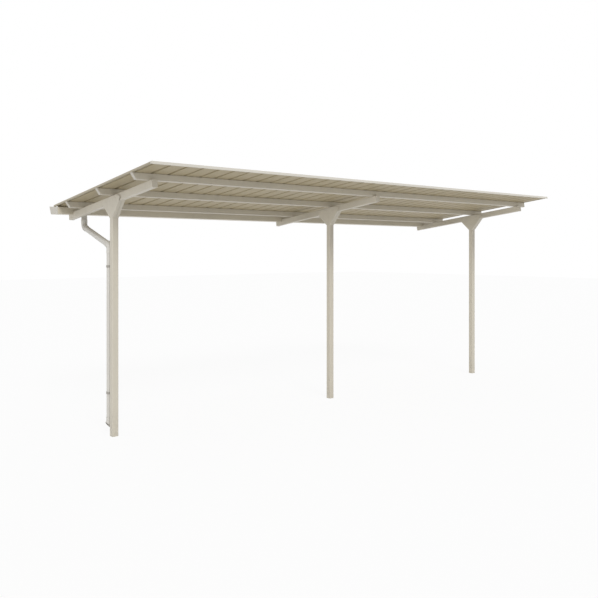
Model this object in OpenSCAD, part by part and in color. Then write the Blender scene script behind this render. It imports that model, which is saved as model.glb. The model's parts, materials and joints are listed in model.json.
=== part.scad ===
// Open cycle shelter: three posts, cantilever arms, purlins and a lean-to
// roof of ribbed steel sheets that drains into a box gutter and one downpipe.
// X runs along the shelter, Y from the high front edge to the gutter, Z up.
// The origin is the centre of the middle post's foot.

/* [Posts] */
// Distance between neighbouring posts
bay_l = 2750; // [2200:10:3200]
// Width of the square post tube
post_w = 60; // [50:1:80]
// Wall of the post tube
post_wall = 2.3; // [1.6:0.1:4]
// Outer corner radius of the post tube
post_r = 5; // [4:0.5:8]
// Thickness of the plate that closes the post's foot
foot_t = 6; // [4:1:12]

/* [Arms] */
// Height of the arms' underside at the post axis
arm_z = 2187; // [1900:1:2400]
// Fall of the arms and of the roof towards the gutter, in degrees
pitch = 7; // [4:0.5:10]
// Width of an arm
arm_w = 50; // [40:1:56]
// Depth of an arm
arm_h = 70; // [60:1:90]
// Wall of the arm tube
arm_wall = 2.3; // [1.6:0.1:4]
// Outer corner radius of the arm tube
arm_r = 5; // [4:0.5:8]
// Reach of an arm in front of the post axis, along the slope
arm_front = 791; // [700:1:850]
// Reach of an arm behind the post axis, along the slope
arm_back = 1002; // [960:1:1050]
// Thickness of the plates that close the arms' ends
arm_cap_t = 2.5; // [1.5:0.5:5]

/* [Head brackets] */
// Thickness of the gusset pressings
gusset_t = 3.2; // [2.5:0.1:5]
// Gap between the post and the gusset flanges at their feet
gusset_fit = 0.2; // [0.1:0.1:1]
// Inside radius of the fold between a gusset and its flanges
gusset_r = 2.5; // [1.5:0.5:4]
// Radius of the gussets' upper corners
gusset_corner = 8; // [4:1:12]
// Height of a gusset below the arm, on the post axis
gusset_drop = 135; // [110:1:170]
// Half width of a gusset on the line of the arm's underside
gusset_reach = 165; // [140:1:190]
// Half width of a gusset at its widest, on the side of the arm
gusset_wide = 196; // [190:1:220]
// Height of that widest place above the arm's underside
gusset_wide_n = 32; // [20:1:40]
// Half width of a gusset's top edge
gusset_top = 132; // [100:1:160]
// Height of the top edge above the arm's underside
gusset_top_n = 62; // [45:1:66]
// Gap between the two gussets' flanges, which are folded in along the slanted edges
flange_gap = 2; // [1:0.5:20]

/* [Purlins] */
// Distance between neighbouring purlins, along the slope
purlin_gap = 706; // [600:1:720]
// Distance of the middle purlin's front face in front of the post axis
purlin_ahead = 44; // [20:1:60]
// Depth of a purlin, along the slope
purlin_w = 40; // [30:1:60]
// Height of a purlin
purlin_h = 60; // [50:1:80]
// Wall of the purlin channel
purlin_wall = 2.3; // [1.6:0.1:3.2]
// Lip of the purlin channel
purlin_lip = 15; // [10:1:20]
// Outer bend radius of the purlin channel
purlin_r = 5; // [4:0.5:7]
// How far the left ends are cut back at the bottom
purlin_rake = 37; // [10:1:60]
// Thickness of the plates that close the purlins' ends
purlin_cap_t = 2; // [1.5:0.5:4]

/* [Roof] */
// Overhang of the roof past the end posts
overhang = 190; // [175:1:320]
// Reach of the roof's front edge in front of the post axis, along the slope
roof_front = 1105; // [900:1:1200]
// Reach of the roof's back edge behind the post axis, along the slope
roof_back = 990; // [940:1:1020]
// Distance between neighbouring ribs, rounded so that ribs stand over the posts
rib_space = 162; // [130:1:200]
// Thickness of a roof sheet
sheet_t = 0.8; // [0.6:0.1:1.2]
// Height of a rib
rib_h = 15; // [10:1:24]
// Width of a rib at its foot, inside
rib_foot = 28; // [24:1:40]
// Width of a rib at its top, inside
rib_top = 18; // [12:1:22]
// Foot of a sheet that rests on its neighbour's pan
sheet_lap = 14; // [8:1:24]
// Play between a lapping rib and the rib under it
lap_play = 0.2; // [0.1:0.1:0.5]
// Inside radius of the bends in the roof sheets
sheet_r = 1.5; // [0.8:0.1:2.5]

/* [Edge trims] */
// Thickness of the folded edge trims
trim_t = 1.2; // [0.8:0.1:2]
// Top leg of the front trim
front_top_leg = 26; // [15:1:40]
// Under leg of the front trim
front_under_leg = 30; // [15:1:45]
// Drip of the front trim below the roof sheets
front_drip = 7; // [5:1:15]
// Inside width of the hem that stiffens the drip
front_hem = 1.6; // [1.2:0.1:3]
// Top leg of a verge trim
verge_top_leg = 40; // [38:1:60]
// Under leg of a verge trim
verge_under_leg = 16; // [12:1:40]
// Inside radius of the bends in the edge trims
trim_r = 0.6; // [0.3:0.1:0.6]
// Play of the sheets and purlins in the edge trims
trim_play = 2; // [1:0.5:4]

/* [Gutter] */
// Height of the gutter's floor above the arms' underside, at its front wall
gutter_rise = 42.5; // [30:0.5:55]
// Distance of the gutter's front wall behind the post axis
gutter_y = 892; // [860:1:920]
// Width of the gutter's floor
gutter_w = 180; // [150:1:200]
// Height of the gutter's front wall
gutter_front_h = 68; // [50:1:72]
// Height of the gutter's back wall
gutter_back_h = 84; // [60:1:110]
// Outward lean of the back wall at its top
gutter_lean = 46; // [0:1:60]
// Thickness of the gutter's walls
gutter_t = 1.2; // [0.8:0.1:2]
// Width of the lips folded in along the gutter's edges
gutter_lip = 9; // [8:1:14]
// Depth of the hems on those lips
gutter_hem = 6; // [4:1:10]
// Inside radius of the gutter's bends
gutter_r = 1.5; // [0.8:0.1:2.5]
// Thickness of the gutter's end caps
gutter_cap_t = 1.5; // [1:0.5:3]

/* [Downpipe] */
// Outside diameter of the downpipe
pipe_d = 60; // [50:1:75]
// Wall of the downpipe
pipe_wall = 2; // [1.5:0.1:3]
// Wall of the sockets on elbows and shoe
socket_wall = 2; // [1.5:0.1:3]
// Length of a socket
socket_l = 28; // [18:1:40]
// Clearance of a pipe in a socket or clamp
pipe_fit = 0.3; // [0.2:0.05:0.5]
// Centreline radius of the elbows
bend_r = 60; // [50:1:90]
// Distance of the gutter's outlet from the left post, along the shelter
outlet_x = 131; // [110:1:200]
// Distance of the outlet behind the gutter's front wall
outlet_y = 90; // [60:1:110]
// Height of the gutter's floor above the corner of the upper bend
drop_l = 126; // [110:1:180]
// Height of the corner of the upper bend above that of the lower one
run_drop = 202; // [160:1:260]
// Gap between the post and the main pipe
pipe_off = 32; // [25:1:50]
// Height of the main pipe's lower end
shoe_z = 135; // [125:1:220]
// Turn of the shoe away from the post, in degrees
shoe_turn = 55; // [30:1:70]
// Centreline radius of the shoe
shoe_r = 50; // [46:1:60]

/* [Outlet and clamps] */
// Clearance between the outlet's spigot and the pipe
spigot_fit = 0.5; // [0.3:0.1:1]
// Wall of the spigot
spigot_wall = 2; // [1.5:0.1:3]
// Length of the spigot below the gutter
spigot_l = 35; // [20:1:50]
// Flange of the spigot on the gutter's floor
spigot_flange = 12; // [8:1:20]
// Height of the lower pipe clamp
clamp_low_z = 395; // [300:1:700]
// Distance of the upper pipe clamp below the corner of the lower bend
clamp_high_drop = 198; // [120:1:500]
// Height of a clamp's band
clamp_h = 22; // [15:1:30]
// Wall of a clamp's band
clamp_wall = 3; // [2:0.5:5]
// Width of a clamp's stem
clamp_stem = 18; // [12:1:24]
// Width and height of a clamp's foot plate
clamp_foot = 44; // [30:1:50]
// Thickness of the foot plate
clamp_foot_t = 3; // [2:0.5:5]
// Reach of the ears that draw a clamp's band together
clamp_ear = 16; // [12:1:22]
// Gap between the two ears
clamp_gap = 4; // [2:0.5:6]

/* [Hidden] */
$fn = 64;
// Overlap that keeps cuts and joined shapes from sharing a face
eps = 1;
// Reach of the blocks that cut tubes to length
cut_over = 200;
// Facets in one bend of a folded sheet
bend_steps = 3;
beige = [0.80, 0.77, 0.71];
light_beige = [0.88, 0.86, 0.82];
roof_tan = [0.66, 0.61, 0.48];
pipe_grey = [0.76, 0.75, 0.71];
clamp_grey = [0.60, 0.58, 0.54];

sides = [-1, 0, 1];
roof_end = bay_l + overhang;
// Levels above the arms' underside, square to the slope
purlin_n = arm_h;
deck_n = arm_h + purlin_h;
// Front faces of the three purlins, along the slope
purlin_s = [for (k = sides) k * purlin_gap - purlin_ahead];
// Ends of the purlins, inside the verge trims
purlin_end = roof_end - trim_t - trim_play;
rake_step = purlin_rake / purlin_h;
rake_cap = purlin_cap_t * sqrt(1 + rake_step * rake_step);
sheet_end = roof_end - trim_t - trim_play;
sheet_l = roof_front + roof_back - trim_t - trim_play;
bay_ribs = round(bay_l / rib_space);
rib_pitch = bay_l / bay_ribs;
end_ribs = floor((sheet_end - bay_l - rib_foot / 2) / rib_pitch);
ribs = 2 * (bay_ribs + end_ribs) + 1;
sheets = 9;
// Height of a rib's inside, and run of its side for each unit of height
rib_in = rib_h - sheet_t;
rib_lean = (rib_foot - rib_top) / (2 * rib_in);
// Offset of a lapping rib from the rib under it, and height of the roof there
lap = sheet_t + lap_play;
trim_n = rib_h + lap;
verge_start = -roof_front + front_under_leg + trim_play;
gutter_z = arm_z - gutter_y * tan(pitch) + gutter_rise;
gutter_back = gutter_y + gutter_w;
gutter_front_z = gutter_z + gutter_front_h;
gutter_back_z = gutter_z + gutter_back_h;
gutter_rim = gutter_back + gutter_lean;
// Clearance between the gutter and the arms' seats
seat_play = 2;
pipe_bore = pipe_d - 2 * pipe_wall;
socket_bore = pipe_d + 2 * pipe_fit;
socket_d = socket_bore + 2 * socket_wall;
elbow_d = pipe_d + socket_wall;
// Length of a socket's root on the bend, and overrun of the bend's bore in degrees
socket_root = 4;
bore_over = 2;
spigot_d = pipe_bore - 2 * spigot_fit;
hole_fit = 0.3;
pipe_y = post_w / 2 + pipe_off + pipe_d / 2;
drop_at = [-bay_l + outlet_x, gutter_y + outlet_y];
drop_z = gutter_z - drop_l;
join_z = drop_z - run_drop;
clamp_high_z = join_z - clamp_high_drop;
run = [-outlet_x, pipe_y - drop_at[1]];
run_l = norm(run);
run_az = atan2(run[1], run[0]);
run_fall = atan2(drop_z - join_z, run_l);
bend = 90 - run_fall;
bend_t = bend_r * tan(bend / 2);
slope_l = norm([run_l, drop_z - join_z]) - 2 * bend_t;

// A point on the side of an arm: distance along it and height above its underside
function arm_point(s, n) = [s * cos(pitch) + n * sin(pitch), arm_z - s * sin(pitch) + n * cos(pitch)];

// Direction from one point to the next, and that direction turned a quarter to the left
function heading(a, b) = (b - a) / norm(b - a);
function left_of(d) = [-d[1], d[0]];

// A direction turned by an angle
function turned(d, angle) = [d[0] * cos(angle) - d[1] * sin(angle), d[0] * sin(angle) + d[1] * cos(angle)];

// Turn of a path at b, positive to the left
function turn_at(a, b, c) =
    let (d = heading(a, b), e = heading(b, c))
    atan2(d[0] * e[1] - d[1] * e[0], d * e);

// One bend at b of a sheet with thickness t to the left of the path and inside radius r,
// on the face that lies off to the left of the path
function bend_points(a, b, c, t, r, off) =
    let (
        d = heading(a, b),
        turn = turn_at(a, b, c),
        side = sign(turn),
        face_r = r + (side > 0 ? t : 0),
        centre = b - d * face_r * tan(abs(turn) / 2) + side * face_r * left_of(d)
    )
    [for (k = [0 : bend_steps])
        centre - side * (face_r - side * off) * turned(left_of(d), turn * k / bend_steps)];

// One face of a folded sheet along a path
function fold_face(path, t, r, off) =
    let (last = len(path) - 1)
    concat(
        [path[0] + off * left_of(heading(path[0], path[1]))],
        [for (i = [1 : last - 1]) each bend_points(path[i - 1], path[i], path[i + 1], t, r, off)],
        [path[last] + off * left_of(heading(path[last - 1], path[last]))]
    );

// The same points from last to first
function reversed(points) = [for (i = [len(points) - 1 : -1 : 0]) points[i]];

// Centre of a rib across the shelter, and first rib of a sheet, both counted from the left
function rib_x(j) = (j - (ribs - 1) / 2) * rib_pitch;
function first_rib(i) = floor(i * ribs / sheets);

// Inside of one rib from left to right, grown to lap over another, with the heights of its feet
function rib_path(x, grow, left_z, right_z) =
    let (
        half = rib_foot / 2 + grow * norm([1, rib_lean]),
        top = rib_in + grow
    )
    [
        [x - half + rib_lean * left_z, left_z], [x - half + rib_lean * top, top],
        [x + half - rib_lean * top, top], [x + half - rib_lean * right_z, right_z]
    ];

// Underside of one sheet: its left rib laps over the last rib of the sheet before it
function sheet_path(i) =
    let (
        first = first_rib(i),
        next = first_rib(i + 1),
        grow = i == 0 ? 0 : lap,
        left = rib_path(rib_x(first), grow, grow, 0)
    )
    concat(
        [i == 0 ? [-sheet_end, 0] : left[0] - [sheet_lap, 0]],
        left,
        [for (j = [first + 1 : next - 1]) each rib_path(rib_x(j), 0, 0, 0)],
        i == sheets - 1 ? [[sheet_end, 0]] : rib_path(rib_x(next), 0, 0, rib_in / 2)
    );

// Head of a gusset's slanted edge on the arm, and its foot beside the post, at the front or the back
function gusset_head(side) = arm_point(side * gusset_reach, 0);
function gusset_foot(side) =
    let (
        foot = [side * (post_w / 2 + gusset_t), arm_z - gusset_drop],
        steep = heading(foot, gusset_head(side))[1]
    )
    [side * (post_w / 2 + gusset_fit + gusset_t / steep), foot[1]];

// The same two points on the inside of the flange
function flange_foot(side) =
    gusset_foot(side) - [side * gusset_t / heading(gusset_foot(side), gusset_head(side))[1], 0];
function flange_head(side) =
    let (
        edge = heading(gusset_foot(side), gusset_head(side)),
        along = heading(arm_point(0, 0), arm_point(gusset_reach, 0))
    )
    gusset_head(side) - side * gusset_t / abs(along[0] * edge[1] - along[1] * edge[0]) * along;

// Upper corners of a gusset on one side, rounded, from the arm's underside up or back down
function gusset_crown(side) =
    let (
        wide = arm_point(side * gusset_wide, gusset_wide_n),
        top = arm_point(side * gusset_top, gusset_top_n),
        points = concat(
            bend_points(gusset_head(side), wide, top, 0, gusset_corner, 0),
            bend_points(wide, top, arm_point(0, gusset_top_n), 0, gusset_corner, 0)
        )
    )
    side > 0 ? points : reversed(points);

// Places its children on the slope: Y along it towards the gutter, Z square to it
module on_slope() {
    translate([0, 0, arm_z]) rotate([-pitch, 0, 0]) children();
}

// Runs a profile drawn in Y and Z along X
module along_x(x0, x1) {
    translate([x0, 0, 0]) rotate([90, 0, 90]) linear_extrude(x1 - x0) children();
}

// Runs a profile drawn in X and Z along Y
module along_y(y0, y1) {
    translate([0, y1, 0]) rotate([90, 0, 0]) linear_extrude(y1 - y0) children();
}

// Section of a sheet folded along a path, its thickness to the left
module folded(path, t, r) {
    polygon(concat(fold_face(path, t, r, 0), reversed(fold_face(path, t, r, t))));
}

// Rectangle with round corners, centred
module round_rect(w, h, r) {
    square([w - 2 * r, h], center = true);
    square([w, h - 2 * r], center = true);
    for (x = [-1, 1], y = [-1, 1])
        translate([x * (w / 2 - r), y * (h / 2 - r)]) circle(r);
}

// Rectangular tube section, centred
module tube_section(w, h, wall, r) {
    difference() {
        round_rect(w, h, r);
        round_rect(w - 2 * wall, h - 2 * wall, r - wall);
    }
}

// Square post, closed at the foot and cut to the fall of the arm at the head
module post(k) {
    color(beige) difference() {
        translate([k * bay_l, 0, 0]) difference() {
            linear_extrude(arm_z + post_w) round_rect(post_w, post_w, post_r);
            translate([0, 0, foot_t]) linear_extrude(arm_z + post_w)
                round_rect(post_w - 2 * post_wall, post_w - 2 * post_wall, post_r - post_wall);
        }
        on_slope() translate([k * bay_l - cut_over / 2, -cut_over / 2, 0]) cube(cut_over);
    }
}

// Outline of a gusset in Y and Z, spread over post and arm
module gusset_outline() {
    polygon(concat(
        [gusset_foot(-1), gusset_foot(1), gusset_head(1)], gusset_crown(1),
        gusset_crown(-1), [gusset_head(-1)]
    ));
}

// Space between the two flanges of a gusset and on the side of the arm
module gusset_hollow() {
    polygon([
        flange_foot(-1) - [0, eps], flange_foot(1) - [0, eps], flange_foot(1), flange_head(1),
        arm_point(gusset_wide + cut_over, 0), arm_point(gusset_wide + cut_over, cut_over),
        arm_point(-gusset_wide - cut_over, cut_over), arm_point(-gusset_wide - cut_over, 0),
        flange_head(-1), flange_foot(-1)
    ]);
}

// What a fold leaves away outside its round, along one slanted edge of a gusset
module gusset_fold(side) {
    foot = gusset_foot(side);
    head = gusset_head(side);
    edge = heading(foot, head);
    face = post_w / 2 + gusset_t;
    fold = bend_points([0, 0], [face, 0], [face, cut_over], gusset_t, gusset_r, 0);
    translate([0, foot[0], foot[1]]) rotate([-atan2(edge[0], edge[1]), 0, 0])
        translate([0, 0, -cut_over]) linear_extrude(norm(head - foot) + cut_over)
            mirror([0, side > 0 ? 1 : 0]) polygon(concat(
                [[fold[0][0], -eps]], fold, [[face + eps, fold[bend_steps][1]], [face + eps, -eps]]
            ));
}

// Packer that fills the space between a gusset and the narrower arm
module gusset_packer() {
    half = gusset_top - gusset_corner;
    top = gusset_top_n - gusset_corner;
    polygon([arm_point(-half, 0), arm_point(half, 0), arm_point(half, top), arm_point(-half, top)]);
}

// Pair of pressed gussets that hold an arm on its post
module bracket(k) {
    flange_x = flange_gap / 2;
    color(beige) translate([k * bay_l, 0, 0]) for (m = [0, 1]) mirror([m, 0, 0]) {
        difference() {
            along_x(flange_x, post_w / 2 + gusset_t) gusset_outline();
            along_x(flange_x - eps, post_w / 2) gusset_hollow();
            for (side = [-1, 1])
                gusset_fold(side);
        }
        along_x(arm_w / 2, post_w / 2 + gusset_t / 2) gusset_packer();
    }
}

// Space that the gutter takes out of the arms' back ends
module gutter_seat() {
    translate([-roof_end, gutter_y - seat_play, gutter_z])
        cube([2 * roof_end, gutter_w + cut_over, cut_over]);
}

// Cantilever arm, a tube along the slope with a seat for the gutter
module arm(k) {
    color(beige) difference() {
        on_slope() translate([k * bay_l, -arm_front, arm_h / 2]) rotate([-90, 0, 0])
            linear_extrude(arm_front + arm_back) tube_section(arm_w, arm_h, arm_wall, arm_r);
        gutter_seat();
    }
}

// Plates that close both ends of every arm
module arm_end_caps() {
    color(beige) difference() {
        on_slope() for (k = sides, s = [-arm_front - arm_cap_t, arm_back])
            translate([k * bay_l, s, arm_h / 2]) rotate([-90, 0, 0])
                linear_extrude(arm_cap_t) round_rect(arm_w, arm_h, arm_r);
        gutter_seat();
    }
}

// Lipped channel of a purlin in Y and Z, open towards the gutter
module purlin_section() {
    translate([purlin_w / 2, purlin_h / 2]) difference() {
        tube_section(purlin_w, purlin_h, purlin_wall, purlin_r);
        translate([purlin_w / 2 - purlin_wall - eps, purlin_lip - purlin_h / 2])
            square([purlin_wall + 2 * eps, purlin_h - 2 * purlin_lip]);
    }
}

// Purlin along the shelter, raked at the left end and square at the right end
module purlin(k) {
    left = -purlin_end + rake_cap;
    color(beige) on_slope() translate([0, purlin_s[k], purlin_n]) difference() {
        along_x(left, purlin_end - purlin_cap_t) purlin_section();
        along_y(-eps, purlin_w + eps) polygon([
            [left - eps, -eps], [left + purlin_rake + rake_step * eps, -eps],
            [left - rake_step * eps, purlin_h + eps], [left - eps, purlin_h + eps]
        ]);
    }
}

// Plates that close the purlins: raked on the left, square on the right
module purlin_end_caps() {
    left = -purlin_end + rake_cap;
    color(light_beige) on_slope() for (s = purlin_s) translate([0, s, purlin_n]) {
        along_y(0, purlin_w) polygon([
            [left - rake_cap, purlin_h], [left, purlin_h],
            [left + purlin_rake, 0], [left + purlin_rake - rake_cap, 0]
        ]);
        translate([purlin_end - purlin_cap_t, 0, 0]) cube([purlin_cap_t, purlin_w, purlin_h]);
    }
}

// One ribbed roof sheet, numbered from the left
module roof_sheet(i) {
    color(roof_tan) on_slope() translate([0, 0, deck_n])
        along_y(roof_back - sheet_l, roof_back) folded(sheet_path(i), sheet_t, sheet_r);
}

// Folded trim along the high front edge, with a hemmed drip and a tab that closes each end
module front_trim() {
    hem = front_hem + 2 * trim_t;
    tab_end = roof_end - trim_play / 2;
    tab_back = front_under_leg - trim_t;
    color(light_beige) on_slope() translate([0, -roof_front, deck_n]) {
        along_x(-roof_end, roof_end) folded([
            [front_top_leg, trim_n + trim_t], [0, trim_n + trim_t], [0, -front_drip], [hem, -front_drip],
            [hem, -trim_t], [front_under_leg, -trim_t]
        ], trim_t, trim_r);
        for (x = [-tab_end, tab_end - trim_t])
            along_x(x, x + trim_t) polygon([
                [trim_t / 2, -trim_t / 2], [tab_back, -trim_t / 2],
                [tab_back, trim_n + trim_t / 2], [trim_t / 2, trim_n + trim_t / 2]
            ]);
    }
}

// Folded trim along one end of the roof, its under leg notched round the purlins
module verge(side) {
    color(beige) on_slope() difference() {
        translate([0, 0, deck_n]) along_y(verge_start, roof_back) mirror([side > 0 ? 1 : 0, 0])
            folded([
                [verge_top_leg - roof_end, trim_n + trim_t], [-roof_end, trim_n + trim_t],
                [-roof_end, -trim_t], [verge_under_leg - roof_end, -trim_t]
            ], trim_t, trim_r);
        for (s = purlin_s)
            translate([-purlin_end - trim_play / 2, s - trim_play, purlin_n])
                cube([2 * purlin_end + trim_play, purlin_w + 2 * trim_play, purlin_h]);
    }
}

// Outline of the gutter's outside in Y and Z
module gutter_outside() {
    polygon([
        [gutter_y, gutter_z], [gutter_back, gutter_z], [gutter_rim, gutter_back_z], [gutter_y, gutter_front_z]
    ]);
}

// Folded section of the gutter with hemmed lips
module gutter_section() {
    folded([
        [gutter_y + gutter_lip, gutter_front_z - gutter_hem], [gutter_y + gutter_lip, gutter_front_z],
        [gutter_y, gutter_front_z], [gutter_y, gutter_z], [gutter_back, gutter_z],
        [gutter_rim, gutter_back_z], [gutter_rim - gutter_lip, gutter_back_z],
        [gutter_rim - gutter_lip, gutter_back_z - gutter_hem]
    ], gutter_t, gutter_r);
}

// Box gutter under the low edge, with the hole for its outlet
module gutter() {
    color(beige) difference() {
        along_x(gutter_cap_t - roof_end, roof_end - gutter_cap_t) gutter_section();
        translate([drop_at[0], drop_at[1], gutter_z - eps])
            cylinder(h = gutter_t + 2 * eps, d = spigot_d + 2 * hole_fit);
    }
}

// Plate that closes one end of the gutter
module gutter_cap(side) {
    x0 = side < 0 ? -roof_end : roof_end - gutter_cap_t;
    color(light_beige) along_x(x0, x0 + gutter_cap_t) gutter_outside();
}

// Spigot with a flange on the gutter's floor
module gutter_outlet() {
    color(pipe_grey) translate([drop_at[0], drop_at[1], gutter_z]) difference() {
        union() {
            translate([0, 0, -spigot_l]) cylinder(h = spigot_l + gutter_t + eps, d = spigot_d);
            translate([0, 0, gutter_t]) cylinder(h = spigot_wall, d = spigot_d + 2 * spigot_flange);
        }
        translate([0, 0, -spigot_l - eps])
            cylinder(h = spigot_l + gutter_t + spigot_wall + 2 * eps, d = spigot_d - 2 * spigot_wall);
    }
}

// Straight pipe standing on Z
module pipe(l) {
    difference() {
        cylinder(h = l, d = pipe_d);
        translate([0, 0, -eps]) cylinder(h = l + 2 * eps, d = pipe_bore);
    }
}

// Solid bar bent round the origin in X and Z, from one angle through a turn
module bent_bar(r, start, turn, d) {
    rotate([90, 0, 0]) rotate([0, 0, start]) rotate_extrude(angle = turn) translate([r, 0]) circle(d = d);
}

// Places its children at one end of a bend, with Z out of it
module at_bend_end(r, angle, flip) {
    translate([r * cos(angle), 0, r * sin(angle)]) rotate([0, flip - angle, 0]) children();
}

// Outside of a socket that stands on the end of a bend
module socket_outside() {
    translate([0, 0, -socket_root]) cylinder(h = socket_l + socket_root, d = socket_d);
}

// Inside of a socket, with the pipe's shoulder at the bottom
module socket_inside() {
    cylinder(h = socket_l + eps, d = socket_bore);
}

// Elbow round the origin in X and Z, with a socket at each end
module elbow(start) {
    difference() {
        union() {
            bent_bar(bend_r, start, bend, elbow_d);
            at_bend_end(bend_r, start, 180) socket_outside();
            at_bend_end(bend_r, start + bend, 0) socket_outside();
        }
        bent_bar(bend_r, start - bore_over, bend + 2 * bore_over, pipe_bore);
        at_bend_end(bend_r, start, 180) socket_inside();
        at_bend_end(bend_r, start + bend, 0) socket_inside();
    }
}

// Places its children in the upright plane of the sloping pipe, X away from the gutter
module in_run() {
    translate([drop_at[0], drop_at[1], 0]) rotate([0, 0, run_az]) children();
}

// Pipe from the gutter down to the upper elbow
module downpipe_drop() {
    color(pipe_grey) translate([drop_at[0], drop_at[1], drop_z + bend_t])
        pipe(gutter_z - drop_z - bend_t);
}

// Elbow below the gutter
module elbow_upper() {
    color(pipe_grey) in_run() translate([bend_r, 0, drop_z + bend_t]) elbow(180);
}

// Sloping pipe from the gutter to the post
module downpipe_slope() {
    color(pipe_grey) in_run() translate([0, 0, drop_z]) rotate([0, 90 + run_fall, 0])
        translate([0, 0, bend_t]) pipe(slope_l);
}

// Elbow behind the post
module elbow_lower() {
    color(pipe_grey) in_run() translate([run_l - bend_r, 0, join_z - bend_t]) elbow(0);
}

// Upright pipe behind the left post
module downpipe_main() {
    color(pipe_grey) translate([-bay_l, pipe_y, shoe_z]) pipe(join_z - bend_t - shoe_z);
}

// Shoe that throws the water clear of the post
module downpipe_shoe() {
    color(pipe_grey) translate([-bay_l - shoe_r, pipe_y, shoe_z]) difference() {
        union() {
            bent_bar(shoe_r, -shoe_turn, shoe_turn, elbow_d);
            at_bend_end(shoe_r, 0, 0) socket_outside();
        }
        bent_bar(shoe_r, -shoe_turn - bore_over, shoe_turn + 2 * bore_over, pipe_bore);
        at_bend_end(shoe_r, 0, 0) socket_inside();
    }
}

// Split band round the main pipe with two ears, a stem and a foot plate on the post
module clamp(z) {
    band_r = socket_bore / 2 + clamp_wall;
    stem_y = post_w / 2 + clamp_foot_t - eps;
    stem_end = pipe_y - sqrt(band_r * band_r - clamp_stem * clamp_stem / 4) + eps;
    ears = clamp_gap + 2 * clamp_wall;
    color(clamp_grey) translate([-bay_l, 0, z]) {
        translate([0, pipe_y, -clamp_h / 2]) difference() {
            union() {
                cylinder(h = clamp_h, r = band_r);
                translate([-ears / 2, 0, 0]) cube([ears, band_r + clamp_ear, clamp_h]);
            }
            translate([0, 0, -eps]) cylinder(h = clamp_h + 2 * eps, d = socket_bore);
            translate([-clamp_gap / 2, 0, -eps])
                cube([clamp_gap, band_r + clamp_ear + eps, clamp_h + 2 * eps]);
        }
        translate([-clamp_stem / 2, stem_y, -clamp_h / 2])
            cube([clamp_stem, stem_end - stem_y, clamp_h]);
        translate([-clamp_foot / 2, post_w / 2, -clamp_foot / 2])
            cube([clamp_foot, clamp_foot_t, clamp_foot]);
    }
}

post(-1);  // post_left
post(0);  // post_middle
post(1);  // post_right
bracket(-1);  // bracket_left
bracket(0);  // bracket_middle
bracket(1);  // bracket_right
arm(-1);  // arm_left
arm(0);  // arm_middle
arm(1);  // arm_right
arm_end_caps();
purlin(0);  // purlin_front
purlin(1);  // purlin_middle
purlin(2);  // purlin_rear
purlin_end_caps();
roof_sheet(0);  // roof_sheet_1
roof_sheet(1);  // roof_sheet_2
roof_sheet(2);  // roof_sheet_3
roof_sheet(3);  // roof_sheet_4
roof_sheet(4);  // roof_sheet_5
roof_sheet(5);  // roof_sheet_6
roof_sheet(6);  // roof_sheet_7
roof_sheet(7);  // roof_sheet_8
roof_sheet(8);  // roof_sheet_9
front_trim();
verge(-1);  // verge_left
verge(1);  // verge_right
gutter();
gutter_cap(-1);  // gutter_cap_left
gutter_cap(1);  // gutter_cap_right
gutter_outlet();
downpipe_drop();
elbow_upper();
downpipe_slope();
elbow_lower();
downpipe_main();
downpipe_shoe();
clamp(clamp_high_z);  // clamp_upper
clamp(clamp_low_z);  // clamp_lower
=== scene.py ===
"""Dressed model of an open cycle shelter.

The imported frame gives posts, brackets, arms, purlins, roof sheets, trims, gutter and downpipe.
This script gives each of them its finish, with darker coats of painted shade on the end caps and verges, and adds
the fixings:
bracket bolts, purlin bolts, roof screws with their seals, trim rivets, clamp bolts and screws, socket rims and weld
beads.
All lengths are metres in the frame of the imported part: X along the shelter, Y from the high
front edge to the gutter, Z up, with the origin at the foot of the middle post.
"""

import json
import logging
import math
from dataclasses import dataclass
from enum import Enum
from typing import ClassVar, Self

import bpy
import numpy as np
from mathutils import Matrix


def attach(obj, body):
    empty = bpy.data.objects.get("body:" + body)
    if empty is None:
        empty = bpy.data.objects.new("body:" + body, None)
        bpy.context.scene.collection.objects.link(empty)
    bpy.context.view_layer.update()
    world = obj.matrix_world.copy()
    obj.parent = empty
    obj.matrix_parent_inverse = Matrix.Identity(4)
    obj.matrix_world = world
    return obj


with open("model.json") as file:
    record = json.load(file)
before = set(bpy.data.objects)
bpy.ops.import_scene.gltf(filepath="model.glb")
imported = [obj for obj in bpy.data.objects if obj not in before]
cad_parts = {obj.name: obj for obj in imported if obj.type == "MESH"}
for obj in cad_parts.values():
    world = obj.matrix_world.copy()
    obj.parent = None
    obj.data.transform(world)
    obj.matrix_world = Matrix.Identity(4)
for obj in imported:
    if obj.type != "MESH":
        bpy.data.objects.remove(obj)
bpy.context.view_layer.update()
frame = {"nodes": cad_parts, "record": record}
BODY = "root"
HEXAGON_SIDES = 6
CORNER_POINTS = 5
NEAR_X = 0.7
Color = tuple[float, float, float]
Socket = bpy.types.NodeSocket
log = logging.getLogger("shelter")


class Station(Enum):
    """The three post lines of the shelter, with their sign along X."""

    LEFT = -1
    MIDDLE = 0
    RIGHT = 1


class Head(Enum):
    """Kinds of fixing heads."""

    BOLT = "bolt"
    NUT = "nut"
    SCREW = "screw"
    SEAL = "seal"
    RIVET = "rivet"


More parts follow.
